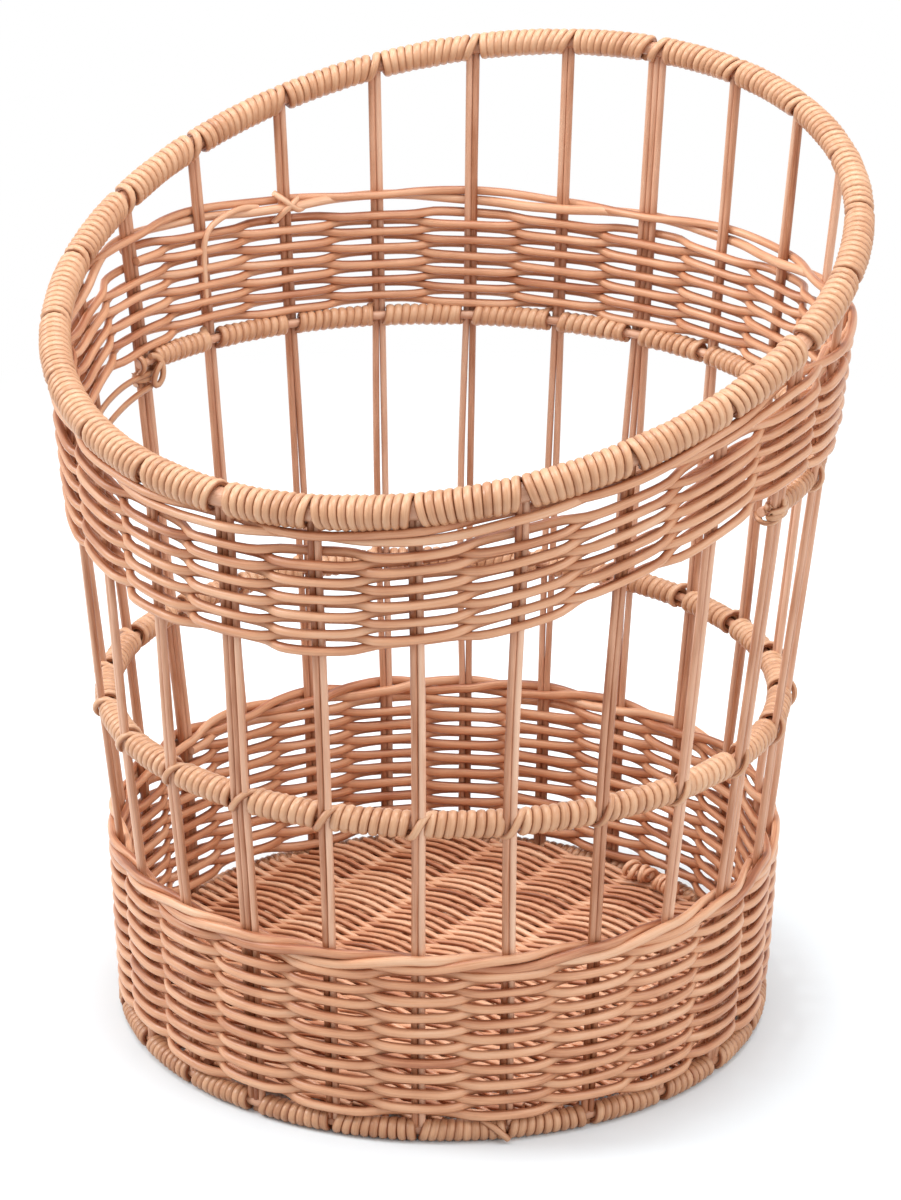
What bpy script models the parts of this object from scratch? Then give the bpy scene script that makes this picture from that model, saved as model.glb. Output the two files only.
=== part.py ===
"""Baguette basket: an open round basket of peeled cane with a slanted rim.

Metres, +Z up. The high side is at +Y and the low side at -Y. The origin lies on the surface that
the basket stands on, straight below the centre of the rim. Stakes are counted from +X towards +Y.
"""

import math

import bmesh
import bpy
from mathutils import Vector

# Cane
ROD_D = 0.0032           # round rods of the stakes
ROD_SPACING = 0.0031     # neighbouring rods of a stake, pressed slightly into each other
STRAND_D = 0.0035        # strand of the woven bands
BINDING_D = 0.0028       # the same strand pressed flatter where it is wound round the hoops
CLEARANCE = 0.0003       # left between pieces that touch on the real basket

# Stakes
STAKE_COUNT = 24
HEAVY_EVERY = 6          # the stakes at the right, back, left and front are heavy ones
ROD_COUNT = 2
HEAVY_ROD_COUNT = 3

# Foot
FOOT_RADIUS = 0.146      # centre line of the foot hoop and of the stakes above it
FOOT_CORE_D = 0.0030     # rod inside the foot hoop
FLAT_CUT = 0.0005        # depth of the flat worn on the binding under the foot

# Lower band and hoop
LOWER_ROWS = 18
LOWER_PITCH = 0.0039
LOWER_START = 0.0132     # centre of the first row
WALE_RISE = 0.0039       # how far a wale strand passes above and below its middle line
LOWER_FLARE = 0.0035     # how far the stakes have leaned out at the top of the lower band
HOOP_FLARE = 0.0097      # and at the lower hoop
HOOP_CORE_D = 0.0034     # rod inside the lower hoop and the half hoop
HOOP_HEIGHT = 0.155

# Rim
RIM_RADIUS = 0.1787
RIM_TILT = math.radians(18.8)
RIM_HEIGHT = 0.3535      # centre of the rim
RIM_LEAD = 0.0061        # how far the rim's centre lies behind the foot's centre
RIM_CORE_D = 0.0052
RIM_GAP = 0.0008         # between the rim's binding and the band below it

# Upper band and half hoop
UPPER_ROWS = 11
UPPER_PITCH = 0.0040
UPPER_DROP = 0.015       # from the rim's centre down to the band's level top edge
BAND_EASE = 0.005        # softness of the bend where the band dips under the rim
HALF_HOOP_DROP = 0.0625  # from the band's top edge down to the half hoop
HALF_HOOP_OVERRUN = 0.016

# Windings
WRAP_POINTS = 6          # points in one turn
RIM_TURNS = 2            # turns between two stakes
HOOP_TURNS = 2
FOOT_TURNS = 1
WRAP_AIR = 0.00035       # extra room between a hoop's rod and the flats of its winding
LASH_SHOULDER = 0.0002   # beyond the stake's side, where the lashing turns over the stake
LASH_FOOT = 0.0028       # beyond the stake's side, where the lashing is back on the hoop
LASH_SLANT = 0.0010      # rise of the lashing on either side of the stake's middle
LASH_ANGLE = math.radians(30)

# Floor
STICK_COUNT = 7
STICK_SPACING = 0.2466 * FOOT_RADIUS
STICK_D = 0.0040
MAT_ROWS = 46
MAT_THICKNESS = 0.0076
MAT_RELIEF = 0.0007      # how far the weave rises over a stick or dips below it
MAT_HEIGHT = 0.0088      # middle of the mat
STICK_ROOM = 0.0003

HOOP_POINTS = 48
WELD = 0.00001           # joins the corners of a tube's caps to its sides
CANE = (0.72, 0.40, 0.23)
CANE_PALE = (0.82, 0.52, 0.31)
CANE_DARK = (0.55, 0.27, 0.15)

TURN = 2 * math.pi
STEP = TURN / STAKE_COUNT
LOWER_BAND_RADIUS = FOOT_RADIUS + LOWER_FLARE
HOOP_RADIUS = FOOT_RADIUS + HOOP_FLARE
UPPER_TOP = RIM_HEIGHT - UPPER_DROP
HALF_HOOP_HEIGHT = UPPER_TOP - HALF_HOOP_DROP


def clear_scene():
    for item in list(bpy.data.objects):
        bpy.data.objects.remove(item, do_unlink=True)


def cane(name, colour, roughness):
    material = bpy.data.materials.new(name)
    material.use_nodes = True
    shader = material.node_tree.nodes["Principled BSDF"]
    shader.inputs["Base Color"].default_value = (*colour, 1)
    shader.inputs["Roughness"].default_value = roughness
    shader.inputs["Metallic"].default_value = 0
    return material


def collection(name):
    group = bpy.data.collections.new(name)
    bpy.context.scene.collection.children.link(group)
    return group


def place(item, group, material=None):
    group.objects.link(item)
    item.parent = AXIS
    if material:
        item.data.materials.append(material)
    return item


def polyline(name, points, closed=False):
    curve = bpy.data.curves.new(name, "CURVE")
    curve.dimensions = "3D"
    spline = curve.splines.new("POLY")
    spline.points.add(len(points) - 1)
    for point, place_ in zip(spline.points, points):
        point.co = (*place_, 1)
    spline.use_cyclic_u = closed
    return curve


def tube(name, points, diameter, material, closed=False, resolution=0):
    """A round strand or rod along points; resolution 0, 1 and 2 give 4, 6 and 8 sides."""
    curve = polyline(name, points, closed)
    curve.bevel_depth = diameter / 2
    curve.bevel_resolution = resolution
    curve.use_fill_caps = not closed
    return place(bpy.data.objects.new(name, curve), BASKET, material)


def as_mesh(item):
    """The curve object as a mesh object with its caps welded on."""
    graph = bpy.context.evaluated_depsgraph_get()
    mesh = bpy.data.meshes.new_from_object(item.evaluated_get(graph))
    shape = bmesh.new()
    shape.from_mesh(mesh)
    bmesh.ops.remove_doubles(shape, verts=shape.verts, dist=WELD)
    bmesh.ops.recalc_face_normals(shape, faces=shape.faces)
    shape.to_mesh(mesh)
    shape.free()
    solid = bpy.data.objects.new(item.name, mesh)
    name = item.name
    bpy.data.objects.remove(item, do_unlink=True)
    solid.name = name
    BASKET.objects.link(solid)
    solid.parent = AXIS
    return solid


def as_cutter(item):
    """Move an object to the guides, where it only shapes other pieces."""
    BASKET.objects.unlink(item)
    GUIDES.objects.link(item)
    item.hide_render = True
    item.display_type = "WIRE"
    return item


def cut_with(item, cutter):
    cut = item.modifiers.new(cutter.name, "BOOLEAN")
    cut.object = cutter
    cut.solver = "EXACT"


# The wall

def rim_at(azimuth):
    """Radius and height of the rim's centre line, seen from the foot's axis."""
    depth = RIM_RADIUS * math.cos(RIM_TILT)
    across, along = math.cos(azimuth), math.sin(azimuth)
    a = (across / RIM_RADIUS) ** 2 + (along / depth) ** 2
    b = -2 * RIM_LEAD * along / depth ** 2
    c = (RIM_LEAD / depth) ** 2 - 1
    radius = (math.sqrt(b * b - 4 * a * c) - b) / (2 * a)
    return radius, RIM_HEIGHT + (radius * along - RIM_LEAD) * math.tan(RIM_TILT)


def wall_radius(azimuth, height):
    """Radius of the stakes' centre lines: straight from the foot to the lower band, to the hoop, to the rim."""
    rim_radius, rim_height = rim_at(azimuth)
    knots = [(FOOT_HEIGHT, FOOT_RADIUS), (LOWER_BAND_TOP, LOWER_BAND_RADIUS),
             (HOOP_HEIGHT, HOOP_RADIUS), (rim_height, rim_radius)]
    for (low, inner), (high, outer) in zip(knots, knots[1:]):
        if height <= high or high == rim_height:
            share = (height - low) / (high - low)
            return inner + (outer - inner) * share
    return rim_radius


def upper_top(azimuth):
    """Top edge of the upper band: level round the back, pressed down under the low side of the rim."""
    limit = rim_at(azimuth)[1] - wrap_outer(RIM_CORE_D) - RIM_GAP
    soft = math.exp(-UPPER_TOP / BAND_EASE) + math.exp(-limit / BAND_EASE)
    return -BAND_EASE * math.log(soft)


def ring_point(azimuth, radius, height):
    return Vector((radius * math.cos(azimuth), radius * math.sin(azimuth), height))


# Stakes

def is_heavy(stake):
    return stake % HEAVY_EVERY == 0


def rods_in(stake):
    return HEAVY_ROD_COUNT if is_heavy(stake) else ROD_COUNT


def half_width(stake):
    return (rods_in(stake) - 1) * ROD_SPACING / 2 + ROD_D / 2


def rod_row_outline(count):
    """Outline of rods side by side, as one closed line."""
    radius = ROD_D / 2
    cusp = math.acos(ROD_SPACING / 2 / radius)
    last = (count - 1) / 2 * ROD_SPACING

    def arc(centre, start, end, steps):
        angles = [start + (end - start) * n / steps for n in range(steps)]
        return [(centre + radius * math.cos(a), radius * math.sin(a)) for a in angles]

    middles = [last - n * ROD_SPACING for n in range(1, count - 1)]
    points = arc(last, cusp - math.pi, math.pi - cusp, 5)
    for centre in middles:
        points += arc(centre, cusp, math.pi - cusp, 2)
    points += arc(-last, cusp, TURN - cusp, 5)
    for centre in reversed(middles):
        points += arc(centre, math.pi + cusp, TURN - cusp, 2)
    return points


def rod_row_section(name, count):
    section = polyline(name, [(x, y, 0) for x, y in rod_row_outline(count)], True)
    section.dimensions = "2D"
    return as_cutter(place(bpy.data.objects.new(name, section), BASKET))


def make_stakes(material):
    sections = {count: rod_row_section("section_of_%d_rods" % count, count) for count in (ROD_COUNT, HEAVY_ROD_COUNT)}
    names = {0: "heavy_stake_right", 6: "heavy_stake_back", 12: "heavy_stake_left", 18: "heavy_stake_front"}
    for stake in range(STAKE_COUNT):
        azimuth = stake * STEP
        lean = abs(math.cos(azimuth)) * math.tan(RIM_TILT)
        seat = (RIM_CORE_D / 2 + CLEARANCE) * math.hypot(1, lean) + half_width(stake) * lean
        top = rim_at(azimuth)[1] - seat
        bottom = FOOT_HEIGHT + FOOT_CORE_D / 2 + CLEARANCE
        heights = (bottom, LOWER_BAND_TOP, HOOP_HEIGHT, top)
        path = [(wall_radius(azimuth, height), 0, height) for height in heights]
        name = names.get(stake, "stake_%02d" % stake)
        curve = polyline(name, path)
        curve.bevel_mode = "OBJECT"
        curve.bevel_object = sections[rods_in(stake)]
        curve.use_fill_caps = True
        item = as_mesh(place(bpy.data.objects.new(name, curve), BASKET, material))
        item.rotation_euler.z = azimuth


# Woven bands

def pass_offset(stake, outside, radius):
    """How far a strand's centre passes from a stake's centre, so that it clears the rods beside its bend."""
    reach = ROD_D / 2 + STRAND_D / 2 + CLEARANCE
    lean = 2 * reach / (radius * STEP)
    bend = math.tan(STEP / 2)
    if outside:
        return reach + half_width(stake) * (lean + bend)
    return -reach - half_width(stake) * (lean - bend)


def weave_point(stake, outside, height):
    azimuth = stake * STEP
    radius = wall_radius(azimuth, height)
    return ring_point(azimuth, radius + pass_offset(stake % STAKE_COUNT, outside, radius), height)


def weaver(name, rows, pitch, first, phase, material):
    """One of two strands that chase each other round the stakes, out and in, and climb at one place."""
    turns = rows // 2
    points = []
    for n in range(phase, turns * STAKE_COUNT - 1):
        stake = SEAM_STAKE + n
        level = n // STAKE_COUNT * 2 + phase
        height = first(stake * STEP) + level * pitch
        points.append(weave_point(stake, (n + phase) % 2 == 1, height))
    return tube(name, points, STRAND_D, material)


def wale_ring(name, middle, phase, material):
    """A strand that runs outside two stakes and behind the third, rising as it goes."""
    rises = (0, -WALE_RISE, WALE_RISE)
    points = []
    for stake in range(STAKE_COUNT):
        step = (stake + phase) % len(rises)
        points.append(weave_point(stake, step > 0, middle(stake * STEP) + rises[step]))
    return tube(name, points, STRAND_D, material, closed=True)


def lower_first(azimuth):
    return LOWER_START


def lower_wale_middle(azimuth):
    return LOWER_BAND_TOP - STRAND_D / 2 - WALE_RISE


def upper_border_middle(azimuth):
    return upper_top(azimuth) - STRAND_D / 2 - WALE_RISE


def upper_first(azimuth):
    top_row = upper_border_middle(azimuth) - WALE_RISE - STRAND_D - CLEARANCE
    return top_row - (UPPER_ROWS - 1) * UPPER_PITCH


def make_bands(material):
    for letter, phase in (("a", 0), ("b", 1)):
        weaver("lower_weaver_" + letter, LOWER_ROWS, LOWER_PITCH, lower_first, phase, material)
        weaver("upper_weaver_" + letter, UPPER_ROWS, UPPER_PITCH, upper_first, phase, material)
        wale_ring("upper_border_" + letter, upper_border_middle, phase, material)
    for letter, phase in (("a", 0), ("b", 1), ("c", 2)):
        wale_ring("lower_wale_" + letter, lower_wale_middle, phase, material)


# Hoops and their windings

def wrap_reach(core):
    """Centre of the winding from the centre of the rod that it is wound on."""
    return (core / 2 + BINDING_D / 2 + CLEARANCE + WRAP_AIR) / math.cos(math.pi / WRAP_POINTS)


def wrap_outer(core):
    return wrap_reach(core) + BINDING_D / 2


def foot_line(azimuth):
    return ring_point(azimuth, FOOT_RADIUS, FOOT_HEIGHT)


def rim_line(azimuth):
    return ring_point(azimuth, *rim_at(azimuth))


def line_inside_stakes(height):
    def line(azimuth):
        inset = ROD_D / 2 + CLEARANCE + HOOP_CORE_D / 2
        return ring_point(azimuth, wall_radius(azimuth, height) - inset, height)
    return line


def hoop_frame(line, azimuth):
    """Centre, outward direction and upward direction of a hoop at an azimuth."""
    centre = line(azimuth)
    along = (line(azimuth + STEP / 10) - line(azimuth - STEP / 10)).normalized()
    outward = Vector((math.cos(azimuth), math.sin(azimuth), 0))
    outward = (outward - along * outward.dot(along)).normalized()
    return centre, outward, outward.cross(along)


def round_hoop(line, azimuth, angle, reach):
    centre, outward, upward = hoop_frame(line, azimuth)
    return centre + (outward * math.cos(angle) + upward * math.sin(angle)) * reach


def plain_winding(line, core, turns, away, first, last):
    """Turns round a hoop whose stakes end on it; at each stake the strand is on the side away from it."""
    points = []
    for n in range((last - first) * turns * WRAP_POINTS):
        share = n / (turns * WRAP_POINTS)
        azimuth = (first + share) * STEP
        points.append(round_hoop(line, azimuth, away + share * turns * TURN, wrap_reach(core)))
    return points


def lash_points(line, stake, core):
    """Four points that take the strand over a stake, from below on its left to above on its right."""
    azimuth = stake * STEP
    radius = line(azimuth).xy.length
    side = half_width(stake % STAKE_COUNT)
    shoulder = (side + LASH_SHOULDER) / radius
    foot = (side + LASH_FOOT) / radius
    over = core / 2 + ROD_D + 2 * CLEARANCE + BINDING_D / 2
    points = [round_hoop(line, azimuth - foot, -LASH_ANGLE, wrap_reach(core))]
    for sign in (-1, 1):
        centre, outward, upward = hoop_frame(line, azimuth + sign * shoulder)
        points.append(centre + outward * over + upward * sign * LASH_SLANT)
    points.append(round_hoop(line, azimuth + foot, LASH_ANGLE, wrap_reach(core)))
    return points, foot


def lashed_winding(line, core, turns, first, last):
    """Turns round a hoop that lies inside the stakes, with each stake from first up to last lashed to it."""
    points = []
    between = WRAP_POINTS * turns - 1
    for stake in range(first, last):
        lash, foot = lash_points(line, stake, core)
        points += lash
        start = stake * STEP + foot
        end = (stake + 1) * STEP - lash_points(line, stake + 1, core)[1]
        for n in range(1, between):
            share = n / between
            angle = LASH_ANGLE + share * (turns * TURN - 2 * LASH_ANGLE)
            points.append(round_hoop(line, start + share * (end - start), angle, wrap_reach(core)))
    return points


def least_gap(points, diameter):
    """Least gap of a strand to itself, measured on points of its line more than a turn's quarter apart."""
    dense = []
    for one, two in zip(points, points[1:]):
        dense += [one.lerp(two, share / 3) for share in range(3)]
    skip = WRAP_POINTS
    least = min((dense[i] - dense[j]).length
                for i in range(len(dense)) for j in range(i + skip, min(i + 8 * skip, len(dense))))
    return least - diameter


def winding(name, points, material):
    print("%s, least gap to itself: %.4f m" % (name, least_gap(points, BINDING_D)))
    return tube(name, points, BINDING_D, material)


def hoop_rod(name, line, core, material, first=0, count=HOOP_POINTS, closed=True):
    points = [line(first + n * TURN / HOOP_POINTS) for n in range(count)]
    return tube(name, points, core, material, closed, resolution=1)


def make_foot(rod, binding):
    hoop_rod("foot_hoop", foot_line, FOOT_CORE_D, rod)
    points = plain_winding(foot_line, FOOT_CORE_D, FOOT_TURNS, -math.pi / 2, BACK, BACK + STAKE_COUNT)
    wrap = as_mesh(winding("foot_wrap", points, binding))
    floor = bpy.data.meshes.new("standing_surface")
    shape = bmesh.new()
    bmesh.ops.create_cube(shape, size=1)
    depth = RIM_RADIUS / 2
    bmesh.ops.scale(shape, verts=shape.verts, vec=(RIM_RADIUS * 3, RIM_RADIUS * 3, depth))
    bmesh.ops.translate(shape, verts=shape.verts, vec=(0, 0, -depth / 2))
    shape.to_mesh(floor)
    shape.free()
    cutter = place(bpy.data.objects.new("standing_surface", floor), BASKET)
    cut_with(wrap, as_cutter(cutter))


def make_hoops(rod, binding):
    lower = line_inside_stakes(HOOP_HEIGHT)
    hoop_rod("lower_hoop", lower, HOOP_CORE_D, rod)
    for side, first, last in LENGTHS:
        points = lashed_winding(lower, HOOP_CORE_D, HOOP_TURNS, first, last)
        winding("lower_hoop_wrap_" + side, points, binding)

    half = line_inside_stakes(HALF_HOOP_HEIGHT)
    overrun = HALF_HOOP_OVERRUN / HOOP_RADIUS
    steps = HOOP_POINTS // 2 + 1
    span = math.pi + 2 * overrun
    points = [half(-overrun + span * n / steps) for n in range(steps + 1)]
    tube("half_hoop", points, HOOP_CORE_D, rod, resolution=1)
    points = lashed_winding(half, HOOP_CORE_D, HOOP_TURNS, 0, STAKE_COUNT // 2)
    points += lash_points(half, STAKE_COUNT // 2, HOOP_CORE_D)[0]
    winding("half_hoop_wrap", points, binding)


def make_rim(rod, binding):
    hoop_rod("rim_hoop", rim_line, RIM_CORE_D, rod)
    for side, first, last in LENGTHS:
        points = plain_winding(rim_line, RIM_CORE_D, RIM_TURNS, math.pi / 2, first, last)
        winding("rim_wrap_" + side, points, binding)


# Floor

def mat_edge():
    return FOOT_RADIUS - wrap_outer(FOOT_CORE_D) - CLEARANCE


def make_floor(rod, weave):
    """A woven mat on seven sticks: the weave rises over a stick where the next row dips under it."""
    edge = mat_edge()
    mesh = bpy.data.meshes.new("floor_mat")
    shape = bmesh.new()
    columns = STICK_COUNT + 1
    bmesh.ops.create_grid(shape, x_segments=columns, y_segments=MAT_ROWS, size=1)
    for corner in shape.verts:
        column = round((corner.co.x + 1) / 2 * columns)
        row = round((corner.co.y + 1) / 2 * MAT_ROWS)
        # rows are spaced evenly, and start and end a third of a row inside the edge
        y = edge * corner.co.y * (1 - 1 / (3 * MAT_ROWS))
        chord = math.sqrt(edge ** 2 - y ** 2)
        middle = (column - columns / 2) * STICK_SPACING
        ends = column in (0, columns)
        x = math.copysign(chord, corner.co.x) if ends else max(-chord, min(chord, middle)) * 0.999
        lift = 0 if ends or abs(middle) > chord else MAT_RELIEF * (-1) ** (row + column)
        corner.co = (x, y, MAT_HEIGHT + lift)
    shape.to_mesh(mesh)
    shape.free()
    mat = place(bpy.data.objects.new("floor_mat", mesh), BASKET, weave)
    wall = mat.modifiers.new("thickness", "SOLIDIFY")
    wall.thickness = MAT_THICKNESS
    wall.offset = 0
    for stick in range(STICK_COUNT):
        x = (stick - (STICK_COUNT - 1) / 2) * STICK_SPACING
        half = math.sqrt(edge ** 2 - (abs(x) + STICK_D / 2) ** 2)
        ends = [(x, -half, MAT_HEIGHT), (x, half, MAT_HEIGHT)]
        tube("floor_stick_%d" % (stick + 1), ends, STICK_D, rod, resolution=1)
        ends = [(x, -edge, MAT_HEIGHT), (x, edge, MAT_HEIGHT)]
        channel = tube("channel_%d" % (stick + 1), ends, STICK_D + 4 * STICK_ROOM, None, resolution=1)
        cut_with(mat, as_cutter(as_mesh(channel)))


AXIS = None
SEAM_STAKE = 10
BACK = STAKE_COUNT // 4
FRONT = BACK + STAKE_COUNT // 2
LENGTHS = (("left", BACK, FRONT), ("right", FRONT, BACK + STAKE_COUNT))   # a strand binds half a hoop
LOWER_BAND_TOP = LOWER_START + (LOWER_ROWS - 1) * LOWER_PITCH + STRAND_D + CLEARANCE + 2 * WALE_RISE + STRAND_D / 2
FOOT_HEIGHT = wrap_outer(FOOT_CORE_D) - FLAT_CUT

clear_scene()
BASKET = collection("baguette_basket")
GUIDES = collection("guides")
AXIS = bpy.data.objects.new("foot_axis", None)
AXIS.location.y = -RIM_LEAD
BASKET.objects.link(AXIS)

rod_cane = cane("rod_cane", CANE_DARK, 0.5)
woven_cane = cane("woven_cane", CANE, 0.5)
binding_cane = cane("binding_cane", CANE_PALE, 0.45)

make_foot(rod_cane, binding_cane)
make_floor(rod_cane, woven_cane)
make_stakes(rod_cane)
make_bands(woven_cane)
make_hoops(rod_cane, binding_cane)
make_rim(rod_cane, binding_cane)
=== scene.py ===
"""Looks of a baguette basket: peeled cane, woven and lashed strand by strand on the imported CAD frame."""

import math

import bpy
import numpy as np
from mathutils import Matrix, Vector


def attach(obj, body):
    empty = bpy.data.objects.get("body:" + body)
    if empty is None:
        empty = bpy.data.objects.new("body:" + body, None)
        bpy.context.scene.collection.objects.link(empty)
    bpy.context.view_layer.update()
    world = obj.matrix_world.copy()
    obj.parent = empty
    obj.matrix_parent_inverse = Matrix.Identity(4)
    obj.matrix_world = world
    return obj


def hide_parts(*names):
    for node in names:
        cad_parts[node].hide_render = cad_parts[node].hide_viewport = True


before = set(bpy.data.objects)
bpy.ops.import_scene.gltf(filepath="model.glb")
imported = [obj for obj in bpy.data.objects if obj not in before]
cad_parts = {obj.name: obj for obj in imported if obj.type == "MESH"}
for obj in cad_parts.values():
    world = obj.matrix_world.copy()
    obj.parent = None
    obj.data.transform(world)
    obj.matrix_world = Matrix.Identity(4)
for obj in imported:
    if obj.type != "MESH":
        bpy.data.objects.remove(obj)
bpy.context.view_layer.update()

# ---------------------------------------------------------------- sizes, in metres, as in the CAD source
STAKE_COUNT = 24
HEAVY_EVERY = 6
STEP = 2 * math.pi / STAKE_COUNT
AXIS_Y = -0.0061                  # the foot's axis; the rim's centre is above the origin
ROD = 0.0032
ROD_SPACING = 0.0030
RIM_ROD = 0.0076
FOOT_ROD = 0.0044
LOWER_HOOP_ROD = 0.0044
HALF_HOOP_ROD = 0.0042
FLOOR_STICK = 0.0036
FOOT_RADIUS = 0.146
FOOT_HEIGHT = 0.0049
LOWER_START = 0.0132
LOWER_BAND_TOP = 0.09255
LOWER_BAND_RADIUS = 0.1495
HOOP_HEIGHT = 0.155
HOOP_RADIUS = 0.1557
HOOP_SEAT = 0.0019                # from the inside of the stakes to the middle of a hoop
HALF_HOOP_HEIGHT = 0.276
RIM_RADIUS = 0.1787
RIM_TILT = math.radians(18.8)
RIM_HEIGHT = 0.3535
RIM_LEAD = 0.0061
RIM_OUTER = 0.0066                # outside of the rim's binding, from the middle of the rim
RIM_CLEARANCE = 0.0008            # between that binding and the upper band
UPPER_TOP = 0.3385
BAND_EASE = 0.005
SWING = 0.0034                    # from the middle of a stake to the strand that passes it
HEAVY_SWING = 0.0037
STICKS = 7
STICK_SPACING = 0.036
MAT_HEIGHT = 0.0088
MAT_EDGE = 0.1405

# ---------------------------------------------------------------- sizes of the strands as they lie in the real weave
STRAND = 0.0046                   # height of a woven strand; it is pressed flat against the stakes
STRAND_THICK = 0.0035
UPPER_STRAND = 0.0041
LOWER_ROWS = 19
LOWER_PITCH = 0.0038
LOWER_BEND = 1.8                  # the higher, the straighter a strand lies and the more sharply it crosses another
UPPER_ROWS = 12
UPPER_PITCH = 0.0038
UPPER_BEND = 2.4
UPPER_SAG = 0.0036                # the upper band has sunk by this much at the back
UPPER_SAG_AZIMUTH = math.radians(15)
UPPER_BORDER_DROP = 0.0031        # from the upper band's top to the middle of its border
UPPER_BORDER_ROOM = 0.0084        # from there to the row below
BORDER_HALF_GAP = 0.0014
BORDER_RISE = 0.0009
SEAM = 10                         # the stake where the weaving starts
CLIMB = 6                         # stakes over which a strand climbs to its next row
STEPS = 10                        # points between two stakes
TURN = 0.0039                     # one turn of a binding, along the rod
RIM_TURN = 0.0036
FOOT_TURN = 0.0038
TURN_OVERLAP = 0.0006
BINDING_THICK = 0.0030
HEAVY_ROOM = 0.038                # share of a step that a binding leaves free at each side of a heavy stake
MAT_ROWS = 94

CAMERA_AZIMUTH = math.radians(34)
CAMERA_ELEVATION = 0.3896
CAMERA_DISTANCE = 2.0
CAMERA_TARGET = Vector((0.0024, -0.0045, 0.1951))
CAMERA_ROLL = 0.0041
LENS = 133.08
SENSOR = 36

rng = np.random.default_rng(24)


def linear(code):
    """Linear colour of an sRGB hex code."""
    parts = [int(code[i:i + 2], 16) / 255 for i in (0, 2, 4)]
    return [c / 12.92 if c <= 0.04045 else ((c + 0.055) / 1.055) ** 2.4 for c in parts] + [1.0]


def add(tree, kind, sockets=(), **settings):
    """Adds a node with its settings. sockets maps an input to a value, a node's output, or a node for its first."""
    node = tree.nodes.new(kind)
    for name, value in settings.items():
        setattr(node, name, value)
    for name, value in dict(sockets).items():
        if isinstance(value, bpy.types.Node):
            value = value.outputs[0]
        if isinstance(value, bpy.types.NodeSocket):
            tree.links.new(value, node.inputs[name])
        else:
            node.inputs[name].default_value = value
    return node


def calc(tree, operation, *values, **settings):
    return add(tree, "ShaderNodeMath", enumerate(values), operation=operation, **settings)


def vector(tree, operation, *values):
    return add(tree, "ShaderNodeVectorMath", enumerate(values), operation=operation)


def scaled(tree, value, scale):
    return add(tree, "ShaderNodeVectorMath", {0: value, "Scale": scale}, operation="SCALE")


# ---------------------------------------------------------------- materials

SKIN = 0.0017                     # half a strand's width, as its texture is drawn
PORES = (50, 2400, 2400)          # noise per metre along and across a strand: pores 0.4 mm wide and 20 mm long
STAINS = (34, 300, 300)           # stains of sap, 30 mm long
# the ramp's darkest stop, reached where painted shade darkens strand edges and covered rods
DARKEST = "8C4E2D"
TONE_SHARE, STAIN_SHARE, PORE_SHARE = 0.55, 0.75, 0.5
SHADE_SHIFT = -0.4
DEEP_AT, MID_AT, PALE_AT = 0.16, 0.52, 0.94


def empty_material(name):
    material = bpy.data.materials.new(name)
    material.use_nodes = True
    material.node_tree.nodes.clear()
    return material, material.node_tree


def attribute(tree, name, output="Fac"):
    return add(tree, "ShaderNodeAttribute", attribute_name=name).outputs[output]


def cane_material(name, pale, mid, deep, roughness, edge_shade):
    """Peeled cane, drawn round and steamed: long fine pores along the strand, a satin skin, edges darkened by
    painted shade, and every strand of a slightly different tan."""
    material, tree = empty_material(name)
    place = add(tree, "ShaderNodeSeparateXYZ", {0: scaled(tree, attribute(tree, "section", "Vector"), SKIN)})
    # painted shade: each strand is darkened along its two edges, where it lies against its neighbours and shade falls
    # between them
    edge = calc(tree, "POWER", calc(tree, "MULTIPLY", place.outputs["Y"], 1 / SKIN), 4.0)
    length = calc(tree, "ADD", attribute(tree, "grain"), attribute(tree, "along"))
    run = add(tree, "ShaderNodeCombineXYZ", {"X": length, "Y": place.outputs["X"], "Z": place.outputs["Y"]})
    pores = add(tree, "ShaderNodeTexNoise", {
        "Vector": vector(tree, "MULTIPLY", run, PORES), "Scale": 1.0, "Detail": 3.0, "Roughness": 0.6})
    stains = add(tree, "ShaderNodeTexNoise", {
        "Vector": vector(tree, "MULTIPLY", run, STAINS), "Scale": 1.0, "Detail": 2.0})
    toned = calc(tree, "MULTIPLY_ADD", attribute(tree, "tone"), TONE_SHARE, SHADE_SHIFT)
    stained = calc(tree, "MULTIPLY_ADD", stains, STAIN_SHARE, toned)
    marked = calc(tree, "MULTIPLY_ADD", pores, PORE_SHARE, stained)
    # painted shade darkens the strand along its two edges here
    shade = calc(tree, "MULTIPLY_ADD", edge, -edge_shade, marked, use_clamp=True)
    ramp = add(tree, "ShaderNodeValToRGB", {0: shade})
    for stop, spot, code in ((0, 0.0, DARKEST), (1, PALE_AT, pale)):
        ramp.color_ramp.elements[stop].position = spot
        ramp.color_ramp.elements[stop].color = linear(code)
    for spot, code in ((DEEP_AT, deep), (MID_AT, mid)):
        ramp.color_ramp.elements.new(spot).color = linear(code)
    bump = add(tree, "ShaderNodeBump", {"Height": pores, "Strength": 0.35, "Distance": 0.0004})
    gloss = add(tree, "ShaderNodeMapRange", {"Value": pores, "To Min": roughness - 0.06, "To Max": roughness + 0.10})
    shader = add(tree, "ShaderNodeBsdfPrincipled", {
        "Base Color": ramp, "Roughness": gloss, "Normal": bump, "IOR": 1.5, "Coat Weight": 0.15,
        "Coat Roughness": 0.28})
    add(tree, "ShaderNodeOutputMaterial", {"Surface": shader})
    return material


# the last number of each is how strongly painted shade darkens a strand's edges
weave_cane = cane_material("peeled_cane_woven", "EAC1A0", "DAA27C", "AF6C48", 0.40, 0.42)
binding_cane = cane_material("peeled_cane_binding", "E3BC99", "CE9C77", "A66E4B", 0.38, 0.52)
rod_cane = cane_material("peeled_cane_rods", "EAC2A6", "D5A283", "AD714E", 0.40, 0.10)


# ---------------------------------------------------------------- geometry node trees

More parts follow.
